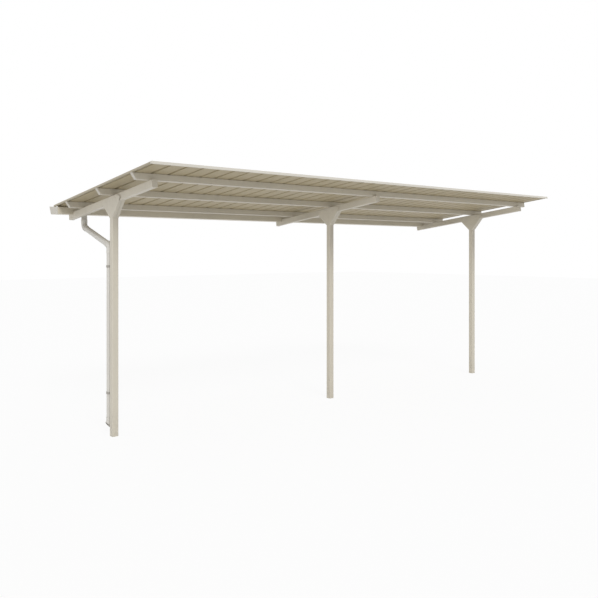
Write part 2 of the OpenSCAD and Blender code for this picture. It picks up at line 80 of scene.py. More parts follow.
@dataclass(frozen=True)
class Surface:
    """Points and faces of a surface, with the faces of one corner count in one array."""

    points: np.ndarray
    faces: tuple[np.ndarray, ...]

    def placed(self, places: np.ndarray) -> Self:
        """Copies the surface to many places at once.

        Each copy is the matrix product of one place with the points, and the faces of copy k are
        those of the first one raised by k times the number of points.

        Args:
            places: Array (n, 4, 4) of place matrices.

        Returns:
            One surface that holds all the copies.
        """
        moved = np.einsum("nij,pj->npi", places[:, :3, :3], self.points) + places[:, None, :3, 3]
        rise = len(self.points) * np.arange(len(places))[:, None, None]
        faces = tuple((face[None] + rise).reshape(-1, face.shape[1]) for face in self.faces)
        return Surface(moved.reshape(-1, 3), faces)

    def joined(self, *others: Self) -> Self:
        """Puts this surface and others into one.

        Args:
            others: Surfaces to add.

        Returns:
            The joint surface, with each one's faces raised past the points before it.
        """
        parts = (self, *others)
        starts = np.cumsum([0] + [len(part.points) for part in parts[:-1]])
        faces = tuple(face + start for part, start in zip(parts, starts) for face in part.faces)
        return Surface(np.concatenate([part.points for part in parts]), faces)

    def mesh(self, name: str, crease: float = math.radians(35)) -> bpy.types.Mesh:
        """Puts the surface into a mesh that is smooth up to a crease angle.

        Args:
            name: Name of the mesh.
            crease: Angle between faces above which their edge stays sharp.

        Returns:
            The new mesh.
        """
        corners = np.concatenate([face.ravel() for face in self.faces])
        totals = np.concatenate([np.full(len(face), face.shape[1]) for face in self.faces])
        mesh = bpy.data.meshes.new(name)
        mesh.vertices.add(len(self.points))
        mesh.vertices.foreach_set("co", self.points.astype(np.float32).ravel())
        mesh.loops.add(len(corners))
        mesh.loops.foreach_set("vertex_index", corners.astype(np.int32))
        mesh.polygons.add(len(totals))
        mesh.polygons.foreach_set("loop_start", (np.cumsum(totals) - totals).astype(np.int32))
        mesh.polygons.foreach_set("use_smooth", np.ones(len(totals), bool))
        mesh.update(calc_edges=True)
        mesh.set_sharp_from_angle(angle=crease)
        return mesh

    def piece(self, name: str) -> bpy.types.Object:
        """Makes the surface an object at the origin that rides on the shelter's body."""
        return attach(show(name, self.mesh(name)), BODY)


def show(name: str, data: bpy.types.ID) -> bpy.types.Object:
    """Links a new object to the scene.

    Args:
        name: Name of the object.
        data: Mesh, lamp or camera that it shows.

    Returns:
        The new object.
    """
    thing = bpy.data.objects.new(name, data)
    bpy.context.scene.collection.objects.link(thing)
    return thing


def lathe(profile: np.ndarray, sides: int) -> Surface:
    """Turns a profile round Z and closes its first and last ring with flat caps.

    Point (i, k) is (r_i cos a_k, r_i sin a_k, h_i), with a_k the k-th of equal steps round the circle.

    Args:
        profile: Array (m, 2) of radius and height, from the bottom up along the outside.
        sides: Steps round the circle. Six make a hexagon.

    Returns:
        The closed surface.
    """
    ring = circle(sides)
    points = np.concatenate([profile[:, None, :1] * ring, 0 * ring[None, :, :1] + profile[:, None, 1:]], -1)
    index = np.arange(len(profile) * sides).reshape(-1, sides)
    right = np.roll(index, -1, axis=1)
    sheet = np.stack([index[:-1], right[:-1], right[1:], index[1:]], -1).reshape(-1, 4)
    caps = np.stack([index[0, ::-1], index[-1]])
    return Surface(points.reshape(-1, 3), (sheet, caps))


def sweep(path: np.ndarray, out: np.ndarray, up: np.ndarray, profile: np.ndarray, closed: bool) -> Surface:
    """Carries a closed profile along a flat path.

    Point (i, k) is path_i plus the profile's first number along out_i and its second one along up.

    Args:
        path: Array (n, 3) of points, anticlockwise as seen against up.
        out: Array (n, 3) of directions away from the path's inside.
        up: Direction (3,) square to the path's plane.
        profile: Array (n, m, 2) of offsets along out and up, anticlockwise, for each point.
        closed: Whether the path's end joins its start. An open one gets flat ends.

    Returns:
        The swept surface.
    """
    points = path[:, None] + profile[..., :1] * out[:, None] + profile[..., 1:] * up
    index = np.arange(points.shape[0] * points.shape[1]).reshape(points.shape[:2])
    here, ahead = (index, np.roll(index, -1, axis=0)) if closed else (index[:-1], index[1:])
    quads = np.stack([here, ahead, np.roll(ahead, -1, axis=1), np.roll(here, -1, axis=1)], -1)
    ends = () if closed else (np.stack([index[0], index[-1, ::-1]]),)
    return Surface(points.reshape(-1, 3), (quads.reshape(-1, 4), *ends))


def circle(count: int) -> np.ndarray:
    """Gives points on the unit circle as an array (count, 2), anticlockwise."""
    angle = 2 * np.pi * np.arange(count) / count
    return np.stack([np.cos(angle), np.sin(angle)], -1)


def rounded_loop(half: np.ndarray, radius: float, step: float) -> tuple[np.ndarray, np.ndarray]:
    """Walks anticlockwise round a rectangle with round corners.

    Each corner gives an arc about its own centre, one radius out. Between two arcs the side is cut
    into even steps, and its outward direction is that of the arc's end.

    Args:
        half: Half width and half height.
        radius: Radius of the corners.
        step: Longest step on the straight sides.

    Returns:
        Points (n, 2) and outward directions (n, 2), from the upper right corner on.
    """
    signs = np.array([[1, 1], [-1, 1], [-1, -1], [1, -1]])
    arc = np.linspace(0, np.pi / 2, CORNER_POINTS)
    points, normals = [], []
    for turn in range(4):
        angle = arc + turn * np.pi / 2
        normal = np.stack([np.cos(angle), np.sin(angle)], -1)
        bend = (half - radius) * signs[turn] + radius * normal
        ahead = (half - radius) * signs[(turn + 1) % 4] + radius * normal[-1]
        count = max(2, math.ceil(np.linalg.norm(ahead - bend[-1]) / step))
        share = np.arange(1, count)[:, None] / count
        points += [bend, bend[-1] * (1 - share) + ahead * share]
        normals += [normal, np.repeat(normal[-1:], count - 1, axis=0)]
    return np.vstack(points), np.vstack(normals)


def places_at(points: np.ndarray, axis: np.ndarray) -> np.ndarray:
    """Makes place matrices that turn Z to one axis.

    The second column is the axis crossed with X, or with Y where the axis lies near X.

    Args:
        points: Array (n, 3) of places.
        axis: Direction (3,) that the copies' Z takes.

    Returns:
        Array (n, 4, 4) of place matrices.
    """
    z = axis / np.linalg.norm(axis)
    y = np.cross(z, np.eye(3)[1 if abs(z[0]) > NEAR_X else 0])
    y /= np.linalg.norm(y)
    places = np.tile(np.eye(4), (len(points), 1, 1))
    places[:, :3, :3] = np.stack([np.cross(y, z), y, z], -1)
    places[:, :3, 3] = points
    return places


class Graph:
    """A material's node tree, with short calls for the nodes that the finishes share."""

    def __init__(self, name: str) -> None:
        """Starts a material with an output and object coordinates.

        Args:
            name: Name of the material.
        """
        self.material = bpy.data.materials.new(name)
        self.material.use_nodes = True
        self.tree = self.material.node_tree
        self.tree.nodes.clear()
        self.output = self.add("ShaderNodeOutputMaterial")
        self.coords = self.add("ShaderNodeTexCoord").outputs["Object"]

    def add(self, kind: str, **settings: object) -> bpy.types.Node:
        """Adds a node and sets its properties.

        Args:
            kind: Type of the node.
            settings: Values by property name.

        Returns:
            The new node.
        """
        node = self.tree.nodes.new(kind)
        for key, value in settings.items():
            setattr(node, key, value)
        return node

    def feed(self, socket: Socket, value: object) -> None:
        """Links a socket to another one, or sets its constant.

        Args:
            socket: Input to feed.
            value: Output socket, or the constant.
        """
        if isinstance(value, Socket):
            self.tree.links.new(value, socket)
        else:
            socket.default_value = value

    def shader(self, **inputs: object) -> None:
        """Adds the surface shader and joins it to the output.

        Args:
            inputs: Constants or sockets by input name, with underscores for spaces.
        """
        node = self.add("ShaderNodeBsdfPrincipled")
        for key, value in inputs.items():
            self.feed(node.inputs[key.replace("_", " ")], value)
        self.feed(self.output.inputs["Surface"], node.outputs["BSDF"])

    def math(self, operation: str, *values: object, clamp: bool = False) -> Socket:
        """Adds a maths node.

        Args:
            operation: What it works out.
            values: Numbers or sockets, in the node's order.
            clamp: Whether the result stays between 0 and 1.

        Returns:
            The result.
        """
        node = self.add("ShaderNodeMath", operation=operation, use_clamp=clamp)
        for socket, value in zip(node.inputs, values):
            self.feed(socket, value)
        return node.outputs[0]

    def noise(self, size: float | Color, detail: float = 3.0, rough: float = 0.5) -> Socket:
        """Adds a noise whose grain has a size in metres.

        Args:
            size: Grain size, the same all round or for X, Y and Z.
            detail: Octaves of finer grain.
            rough: Share that each finer octave keeps.

        Returns:
            The noise value, about 0.5 in the middle.
        """
        sizes = (size,) * 3 if isinstance(size, float) else size
        mapping = self.add("ShaderNodeMapping")
        mapping.inputs["Scale"].default_value = [1 / s for s in sizes]
        self.feed(mapping.inputs["Vector"], self.coords)
        node = self.add("ShaderNodeTexNoise")
        for name, value in (("Vector", mapping.outputs["Vector"]), ("Scale", 1.0), ("Detail", detail),
                            ("Roughness", rough)):
            self.feed(node.inputs[name], value)
        return node.outputs["Fac"]

    def ramp(self, value: Socket, low: float, high: float, fall: bool = False) -> Socket:
        """Maps a range smoothly to 0 to 1, or to 1 to 0, and holds the ends.

        Args:
            value: Socket with the value.
            low: Lower end of the range.
            high: Upper end of the range.
            fall: Whether the result falls from 1 to 0.

        Returns:
            The mapped value.
        """
        node = self.add("ShaderNodeMapRange", interpolation_type="SMOOTHSTEP")
        for name, given in (("Value", value), ("From Min", low), ("From Max", high),
                            ("To Min", float(fall)), ("To Max", float(not fall))):
            self.feed(node.inputs[name], given)
        return node.outputs["Result"]

    def tint(self, color: Color, factor: Socket) -> Socket:
        """Multiplies a colour by a factor.

        Args:
            color: Colour to scale.
            factor: Socket with the factor.

        Returns:
            The scaled colour.
        """
        node = self.add("ShaderNodeVectorMath", operation="SCALE")
        self.feed(node.inputs[0], color)
        self.feed(node.inputs["Scale"], factor)
        return node.outputs["Vector"]

    def mix(self, share: Socket, first: Socket, second: Color) -> Socket:
        """Mixes a second colour into the first one.

        Args:
            share: Socket with the second colour's share.
            first: Socket with the first colour.
            second: The second colour.

        Returns:
            The mixed colour.
        """
        node = self.add("ShaderNodeMix", data_type="RGBA")
        sockets = {socket.identifier: socket for socket in (*node.inputs, *node.outputs)}
        self.feed(sockets["Factor_Float"], share)
        self.feed(sockets["A_Color"], first)
        self.feed(sockets["B_Color"], (*second, 1.0))
        return sockets["Result_Color"]

    def bump(self, height: Socket, depth: float, under: Socket | None = None) -> Socket:
        """Adds relief of a depth in metres, on top of an earlier one where given.

        Args:
            height: Socket with the height from 0 to 1.
            depth: Depth in metres that a height of 1 stands for.
            under: Normal of an earlier relief.

        Returns:
            The new normal.
        """
        node = self.add("ShaderNodeBump")
        self.feed(node.inputs["Distance"], depth)
        self.feed(node.inputs["Height"], height)
        if under is not None:
            self.feed(node.inputs["Normal"], under)
        return node.outputs["Normal"]

    def upward(self, vector: Socket) -> Socket:
        """Takes the Z part of a vector.

        Args:
            vector: Socket with the vector.

        Returns:
            The Z part.
        """
        split = self.add("ShaderNodeSeparateXYZ")
        self.feed(split.inputs[0], vector)
        return split.outputs["Z"]


@dataclass(frozen=True)
class Patches:
    """Patches of dirt: the part of a noise that lies above a range shows fully, below it not at all."""

    size: float
    detail: float
    rough: float
    low: float
    high: float

    def share(self, graph: Graph) -> Socket:
        """Works out how far the patches cover a point, from 0 to 1."""
        return graph.ramp(graph.noise(self.size, self.detail, self.rough), self.low, self.high)


@dataclass(frozen=True)
class Coat:
    """Sprayed paint on steel: broad drift of tone, fine speckle, orange peel, rain marks and dust."""

    name: str
    tone: Color
    roughness: float = 0.42
    specular: float = 0.5
    metallic: float = 0.0
    drift: float = 0.06
    drift_size: float = 0.55
    speckle: float = 0.035
    speckle_size: float = 0.011
    marks: float = 0.05
    mark_size: Color = (0.03, 0.03, 0.55)
    dust: float = 0.22
    splash: float = 0.0
    splash_height: float = 0.32
    peel_size: float = 0.0035
    peel_depth: float = 0.00012
    fine_detail: ClassVar[float] = 2.0
    mark_grain: ClassVar[tuple[float, float]] = (4.0, 0.6)
    mark_range: ClassVar[tuple[float, float]] = (0.52, 0.78)
    dust_tone: ClassVar[Color] = (0.43, 0.40, 0.34)
    dust_power: ClassVar[float] = 3.0
    dust_patches: ClassVar[Patches] = Patches(0.14, 5.0, 0.62, 0.3, 0.75)
    splash_tone: ClassVar[Color] = (0.36, 0.32, 0.26)
    splash_drops: ClassVar[Patches] = Patches(0.035, 6.0, 0.7, 0.38, 0.7)
    sheen_size: ClassVar[float] = 0.09
    sheen_detail: ClassVar[float] = 4.0
    sheen_swing: ClassVar[float] = 0.16
    made: ClassVar[dict[str, bpy.types.Material]] = {}

    def material(self) -> bpy.types.Material:
        """Gives the finish's material, which is made once.

        Returns:
            The material.
        """
        if self.name not in self.made:
            graph = Graph(self.name)
            graph.shader(Base_Color=self.color(graph), Roughness=self.sheen(graph), Metallic=self.metallic,
                         Specular_IOR_Level=self.specular, Normal=self.relief(graph))
            self.made[self.name] = graph.material
        return self.made[self.name]

    def color(self, graph: Graph) -> Socket:
        """Works out the colour.

        The tone is multiplied by one plus drift and speckle, less the rain marks. Dust then settles on
        what faces up, by the third power of the normal's height, and splashed soil near the ground.

        Args:
            graph: Node tree of the material.

        Returns:
            The colour.
        """
        broad = graph.math("MULTIPLY_ADD", graph.noise(self.drift_size), -2 * self.drift, 1 + self.drift)
        speckle = graph.noise(self.speckle_size, self.fine_detail)
        fine = graph.math("MULTIPLY_ADD", speckle, -2 * self.speckle, self.speckle)
        runs = graph.ramp(graph.noise(self.mark_size, *self.mark_grain), *self.mark_range)
        shade = graph.math("MULTIPLY_ADD", runs, -self.marks, graph.math("ADD", broad, fine))
        color = graph.tint(self.tone, shade)
        normal = graph.upward(graph.add("ShaderNodeNewGeometry").outputs["Normal"])
        level = graph.math("POWER", graph.math("MAXIMUM", normal, 0.0), self.dust_power)
        settled = graph.math("MULTIPLY", level, self.dust_patches.share(graph))
        color = graph.mix(graph.math("MULTIPLY", settled, self.dust, clamp=True), color, self.dust_tone)
        if self.splash:
            low = graph.ramp(graph.upward(graph.coords), 0.0, self.splash_height, fall=True)
            thrown = graph.math("MULTIPLY", low, self.splash_drops.share(graph))
            color = graph.mix(graph.math("MULTIPLY", thrown, self.splash, clamp=True), color, self.splash_tone)
        return color

    def sheen(self, graph: Graph) -> Socket:
        """Works out the roughness: rubbed and dusty patches round the coat's own value."""
        rubbed = graph.noise(self.sheen_size, self.sheen_detail)
        return graph.math("MULTIPLY_ADD", rubbed, self.sheen_swing, self.roughness - self.sheen_swing / 2)

    def relief(self, graph: Graph) -> Socket:
        """Works out the relief: orange peel."""
        return graph.bump(graph.noise(self.peel_size, self.fine_detail), self.peel_depth)


@dataclass(frozen=True)
class RolledCoat(Coat):
    """Coil coating on thin sheet: rolling lines, slow buckles and dirt washed along the lines."""

    line_size: Color = (0.0024, 0.5, 0.0024)
    line_depth: float = 0.00004
    buckle_size: Color = (0.11, 0.45, 0.3)
    buckle_depth: float = 0.0016
    mark_size: Color = (0.022, 0.9, 0.3)

    def relief(self, graph: Graph) -> Socket:
        """Works out the relief: slow buckles across a pan, then rolling lines."""
        buckled = graph.bump(graph.noise(self.buckle_size, self.fine_detail), self.buckle_depth)
        return graph.bump(graph.noise(self.line_size, self.fine_detail), self.line_depth, buckled)


@dataclass(frozen=True)
class Plastic(Coat):
    """Extruded drain pipe: drawn lines along the pipe and a dull skin."""

    line_size: Color = (0.0016, 0.0016, 0.25)
    line_depth: float = 0.00006
    mark_size: Color = (0.018, 0.018, 0.4)

    def relief(self, graph: Graph) -> Socket:
        """Works out the relief: drawn lines, then a faint grain."""
        drawn = graph.bump(graph.noise(self.line_size, self.fine_detail), self.line_depth)
        return graph.bump(graph.noise(self.peel_size), self.peel_depth, drawn)


@dataclass(frozen=True)
class Zinc(Coat):
    """Plated fixings: patchy zinc with a dull bloom and tumbled grain."""

    metallic: float = 0.85
    drift: float = 0.14
    drift_size: float = 0.006
    peel_size: float = 0.0012


FRAME_PAINT = Coat("frame_paint", (0.610, 0.568, 0.478), splash=0.35)
TRIM_PAINT = Coat("trim_paint", (0.665, 0.635, 0.565), roughness=0.38, dust=0.12)
ROOF_PAINT = RolledCoat("roof_paint", (0.450, 0.384, 0.252), roughness=0.5, specular=0.2, dust=0.3)
GUTTER_PAINT = RolledCoat("gutter_paint", (0.635, 0.583, 0.468), roughness=0.4, line_size=(0.5, 0.0024, 0.0024),
                          buckle_size=(0.7, 0.2, 0.2), buckle_depth=0.0008, mark_size=(0.05, 0.05, 0.2))
PIPE_PLASTIC = Plastic("pipe_plastic", (0.640, 0.620, 0.575), roughness=0.5, splash=0.3, dust=0.1)
CLAMP_PAINT = Coat("clamp_paint", (0.340, 0.320, 0.285), roughness=0.45)
ZINC = Zinc("plated_fixings", (0.55, 0.54, 0.51), roughness=0.45, marks=0.0)
RUBBER = Coat("seal_rubber", (0.035, 0.034, 0.033), roughness=0.75, drift=0.2, marks=0.0, dust=0.35)
# Painted shade: a darker copy of the frame and gutter paint for the purlin and gutter end caps, standing in for the
# shade on their end faces.
SHADED_CAP_PAINT = Coat("shaded_cap_paint", (0.560, 0.530, 0.465), roughness=0.4, dust=0.12)
# Painted shade: the verge trims take the roof's coil colour darkened further, standing in for the shade on their
# outer faces.
SHADED_VERGE_PAINT = RolledCoat("shaded_verge_paint", (0.385, 0.340, 0.245))
FINISHES = {coat.name: coat for coat in (FRAME_PAINT, TRIM_PAINT, ROOF_PAINT, GUTTER_PAINT, PIPE_PLASTIC,
                                         CLAMP_PAINT)}
# End caps and verges get darker coats of painted shade in place of their slots' paint.
NODE_PAINTED_SHADES = {"purlin_end_caps": SHADED_CAP_PAINT, "gutter_cap_left": SHADED_CAP_PAINT, "gutter_cap_right": SHADED_CAP_PAINT,
                 "verge_left": SHADED_VERGE_PAINT, "verge_right": SHADED_VERGE_PAINT}


def dress(piece: bpy.types.Object, coat: Coat) -> None:
    """Gives a new piece its finish.

    Args:
        piece: Object to dress.
        coat: Finish for all its faces.
    """
    piece.data.materials.append(coat.material())
    log.info("%s: %d faces in %s", piece.name, len(piece.data.polygons), coat.name)


def dress_nodes() -> None:
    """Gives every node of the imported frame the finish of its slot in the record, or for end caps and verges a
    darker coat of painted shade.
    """
    for entry in frame["record"]["subparts"]:
        node = frame["nodes"][entry["node"]]
        coat = NODE_PAINTED_SHADES.get(entry["node"], FINISHES[entry["material_slot"]])
        if not node.material_slots:
            node.data.materials.append(None)
        for slot in node.material_slots:
            slot.material = coat.material()
        log.info("%s: packed solid in %s", node.name, coat.name)


@dataclass(frozen=True)
class Layout:
    """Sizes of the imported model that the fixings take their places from."""

    bay: float = 2.750
    post: float = 0.060
    arm_z: float = 2.187
    pitch: float = math.radians(7)
    arm_w: float = 0.050
    arm_h: float = 0.070
    arm_r: float = 0.005
    arm_front: float = 0.791
    arm_back: float = 1.002
    gusset: float = 0.0032
    purlin_gap: float = 0.706
    purlin_ahead: float = 0.044
    purlin_w: float = 0.040
    purlin_h: float = 0.060
    purlin_wall: float = 0.0023
    roof_front: float = 1.105
    roof_back: float = 0.990
    rib_h: float = 0.015
    lap: float = 0.001
    trim_t: float = 0.0012
    bay_ribs: int = 17
    sheets: int = 9
    gutter_z: float = 2.12
    drop: Color = (-2.619, 0.982, 1.994)
    join: Color = (-2.750, 0.092, 1.792)
    shoe_z: float = 0.135

    @property
    def up(self) -> np.ndarray:
        """Direction square to the slope."""
        return np.array([0.0, math.sin(self.pitch), math.cos(self.pitch)])

    @property
    def along(self) -> np.ndarray:
        """Direction down the slope to the gutter."""
        return np.array([0.0, math.cos(self.pitch), -math.sin(self.pitch)])

    @property
    def deck(self) -> float:
        """Height of the roof pans' underside above the arms' underside."""
        return self.arm_h + self.purlin_h

    @property
    def trim_top(self) -> float:
        """Height of the trims' top above the arms' underside."""
        return self.deck + self.rib_h + self.lap + self.trim_t

    @property
    def posts(self) -> np.ndarray:
        """Places of the posts along the shelter."""
        return self.bay * np.array([station.value for station in Station])

    @property
    def purlins(self) -> np.ndarray:
        """Middles of the purlins along the slope."""
        return self.purlin_gap * np.array([-1, 0, 1]) - self.purlin_ahead + self.purlin_w / 2

    @property
    def ribs(self) -> np.ndarray:
        """Places of the ribs along the shelter, from one beyond each end post."""
        count = self.bay_ribs + 1
        return self.bay / self.bay_ribs * np.arange(-count, count + 1)

    @property
    def rib_tops(self) -> np.ndarray:
        """Heights of the ribs above the arms' underside.

        Returns:
            One height for each rib, with those that lap another one higher.
        """
        index = np.arange(len(self.ribs))
        lapping = np.arange(1, self.sheets) * len(index) // self.sheets
        return self.deck + self.rib_h + self.lap * np.isin(index, lapping)

    def on_slope(self, x: np.ndarray, s: np.ndarray, n: np.ndarray) -> np.ndarray:
        """Gives points on the slope.

        A point is the arm's underside over the middle post, plus x along the shelter, s down the slope
        and n square to it.

        Args:
            x: Places along the shelter.
            s: Distances behind the post axis, down the slope.
            n: Heights above the arms' underside.

        Returns:
            Array (count, 3) of the points.
        """
        x, s, n = (np.ravel(part)[:, None] for part in np.broadcast_arrays(x, s, n))
        return np.array([0.0, 0.0, self.arm_z]) + x * np.eye(3)[0] + s * self.along + n * self.up


@dataclass(frozen=True)
class Fixings:
    """Shapes of bolt heads, nuts, screws, seals and rivets as turned profiles, for a size of 1."""

    round_sides: int = 16
    chamfer: float = 0.07
    chamfer_run: float = 1.5
    washer: tuple[float, float] = (1.02, 0.20)
    hexagon: tuple[float, float] = (0.90, 0.63)
    nut_height: float = 0.82
    thread: tuple[float, float] = (0.5, 0.34)
    skirt: tuple[float, float] = (1.05, 0.16)
    seal: tuple[float, float] = (1.28, 0.32)
    screw_hexagon: tuple[float, float] = (0.74, 0.62)
    dome_height: float = 0.26
    dome_points: int = 6

    def disc(self, radius: float, height: float, base: float, sides: int) -> Surface:
        """Turns a disc or hexagon whose upper rim is chamfered.

        Args:
            radius: Radius at the corners.
            height: Height of the disc.
            base: Height that it stands at.
            sides: Steps round the circle.

        Returns:
            The disc.
        """
        top = base + height
        inner = radius - self.chamfer_run * self.chamfer
        return lathe(np.array([[radius, base], [radius, top - self.chamfer], [inner, top]]), sides)

    def shape(self, kind: Head) -> Surface:
        """Builds one fixing of size 1 that stands on the XY plane with Z out of the surface.

        Args:
            kind: Which fixing.

        Returns:
            The surface of the fixing.
        """
        sides = self.round_sides
        washer = self.disc(*self.washer, 0.0, sides)
        base = self.washer[1]
        match kind:
            case Head.BOLT:
                return washer.joined(self.disc(*self.hexagon, base, HEXAGON_SIDES))
            case Head.NUT:
                top = base + self.nut_height
                nut = self.disc(self.hexagon[0], self.nut_height, base, HEXAGON_SIDES)
                return washer.joined(nut, self.disc(*self.thread, top, sides))
            case Head.SEAL:
                return self.disc(*self.seal, 0.0, sides)
            case Head.SCREW:
                skirt = self.disc(*self.skirt, self.seal[1], sides)
                return skirt.joined(self.disc(*self.screw_hexagon, self.seal[1] + self.skirt[1], HEXAGON_SIDES))
            case Head.RIVET:
                angle = np.linspace(0, np.pi / 2, self.dome_points)[:-1]
                return lathe(np.stack([np.cos(angle), self.dome_height * np.sin(angle)], -1), sides)

    def set_at(self, kind: Head, size: float, points: np.ndarray, axis: np.ndarray) -> Surface:
        """Sets one kind of fixing at many points along one axis.

        Args:
            kind: Which fixing.
            size: Thread diameter, or head radius of a rivet.
            points: Array (n, 3) of places on the surface.
            axis: Direction out of the surface.

        Returns:
            The joint surface.
        """
        places = places_at(points, axis)
        places[:, :3, :3] *= size
        return self.shape(kind).placed(places)


@dataclass
class Skeleton:
    """Posts, head brackets, arms and purlins: their bolts and weld beads."""

    layout: Layout
    fixings: Fixings
    bolt_d: float = 0.010
    button_r: float = 0.0095
    post_bolts: tuple[float, ...] = (0.050, 0.102)
    arm_bolts: tuple[float, ...] = (-0.105, -0.038, 0.038, 0.105)
    arm_bolt_n: float = 0.028
    purlin_bolt_gap: float = 0.026
    bead_r: float = 0.0019
    bead_step: float = 0.002
    bead_ripple: float = 0.16
    ripple_length: float = 0.0045
    bead_sides: int = 8

    def build(self) -> None:
        """Builds and dresses the bolts and weld beads."""
        for station in Station:
            name = station.name.lower()
            dress(self.bracket_bolts(station).piece(f"bracket_bolts_{name}"), FRAME_PAINT)
            dress(self.cap_welds(station).piece(f"arm_welds_{name}"), FRAME_PAINT)
        dress(self.purlin_bolts().piece("purlin_bolts"), ZINC)

    def bracket_bolts(self, station: Station) -> Surface:
        """Sets low button heads on the left gusset of a bracket and nuts on the right one.

        One row goes down the post's axis below the arm, the other along the middle of the arm.

        Args:
            station: Post line of the bracket.

        Returns:
            The joint fixings.
        """
        lay = self.layout
        down = np.array([[0.0, 0.0, lay.arm_z - drop] for drop in self.post_bolts])
        points = np.vstack([down, lay.on_slope(0.0, np.array(self.arm_bolts), self.arm_bolt_n)])
        points[:, 0] = station.value * lay.bay
        reach = np.array([lay.post / 2 + lay.gusset, 0.0, 0.0])
        heads = self.fixings.set_at(Head.RIVET, self.button_r, points - reach, -reach)
        return heads.joined(self.fixings.set_at(Head.NUT, self.bolt_d, points + reach, reach))

    def purlin_bolts(self) -> Surface:
        """Sets two bolts on the floor of each purlin over each arm.

        Returns:
            The joint bolts.
        """
        lay = self.layout
        pair = np.array([-0.5, 0.5]) * self.purlin_bolt_gap
        x, s = np.meshgrid(np.add.outer(lay.posts, pair), lay.purlins)
        points = lay.on_slope(x, s, lay.arm_h + lay.purlin_wall)
        return self.fixings.set_at(Head.BOLT, self.bolt_d, points, lay.up)

    def cap_welds(self, station: Station) -> Surface:
        """Runs weld beads round the end caps of an arm.

        The path is the arm's outline in the cap's plane, all round at the front and below the gutter's
        floor at the back. The bead's radius swells with the sine of the distance along the path.

        Args:
            station: Post line of the arm.

        Returns:
            Both beads.
        """
        lay = self.layout
        path, out = rounded_loop(np.array([lay.arm_w, lay.arm_h]) / 2, lay.arm_r, self.bead_step)
        back_low = lay.on_slope(0.0, lay.arm_back, 0.0)[0, 2]
        seat = (lay.gutter_z - back_low) / math.cos(lay.pitch) - lay.arm_h / 2 - 2 * self.bead_r
        below = path[:, 1] < seat
        front = self.bead(station, -lay.arm_front, path, out, True)
        return front.joined(self.bead(station, lay.arm_back, path[below], out[below], False))

    def bead(self, station: Station, s: float, path: np.ndarray, out: np.ndarray, closed: bool) -> Surface:
        """Sweeps one bead along a path across an arm.

        Args:
            station: Post line of the arm.
            s: Place of the path's plane along the slope.
            path: Points (n, 2) across and up from the arm's middle.
            out: Outward directions (n, 2).
            closed: Whether the path's end joins its start.

        Returns:
            The bead.
        """
        lay = self.layout
        cross = np.stack([np.eye(3)[0], lay.up])
        middle = lay.on_slope(station.value * lay.bay, s, lay.arm_h / 2)
        run = np.cumsum(np.linalg.norm(np.diff(path, axis=0, prepend=path[:1]), axis=1))
        radius = self.bead_r * (1 + self.bead_ripple * np.sin(2 * np.pi * run / self.ripple_length))
        profile = radius[:, None, None] * circle(self.bead_sides)
        return sweep(middle + path @ cross, out @ cross, -lay.along, profile, closed)


@dataclass
class Roof:
    """Ribbed sheets and edge trims: their screws, seals and rivets."""

    layout: Layout
    fixings: Fixings
    screw_d: float = 0.0063
    rivet_r: float = 0.0048
    front_rivet_back: float = 0.017
    rivet_ribs: int = 2
    verge_rivets: int = 6
    verge_margin: float = 0.12

    def build(self) -> None:
        """Builds and dresses the roof's fixings."""
        points = self.screw_points()
        dress(self.fixings.set_at(Head.SEAL, self.screw_d, points, self.layout.up).piece("roof_seals"), RUBBER)
        dress(self.fixings.set_at(Head.SCREW, self.screw_d, points, self.layout.up).piece("roof_screws"), ROOF_PAINT)
        dress(self.front_rivets().piece("front_trim_rivets"), TRIM_PAINT)
        # Painted shade: the verge rivets take the verge trims' darkened coat.
        dress(self.side_rivets().piece("verge_rivets"), SHADED_VERGE_PAINT)

    def screw_points(self) -> np.ndarray:
        """Finds the places of the roof screws.

        Returns:
            A point on every rib over every purlin, save the end ribs under the verge trims.
        """
        lay = self.layout
        x, s = np.meshgrid(lay.ribs[1:-1], lay.purlins)
        tops = np.broadcast_to(lay.rib_tops[1:-1], x.shape)
        return lay.on_slope(x, s, tops)

    def front_rivets(self) -> Surface:
        """Sets rivets through the front trim's top leg into every second rib.

        Returns:
            The joint rivets.
        """
        lay = self.layout
        points = lay.on_slope(lay.ribs[1::self.rivet_ribs], self.front_rivet_back - lay.roof_front, lay.trim_top)
        return self.fixings.set_at(Head.RIVET, self.rivet_r, points, lay.up)

    def side_rivets(self) -> Surface:
        """Sets rivets through the verge trims' top legs into the end ribs.

        Returns:
            The joint rivets.
        """
        lay = self.layout
        ends = np.array([-lay.roof_front, lay.roof_back]) + np.array([1, -1]) * self.verge_margin
        x, s = np.meshgrid(lay.ribs[[0, -1]], np.linspace(*ends, self.verge_rivets))
        return self.fixings.set_at(Head.RIVET, self.rivet_r, lay.on_slope(x, s, lay.trim_top), lay.up)


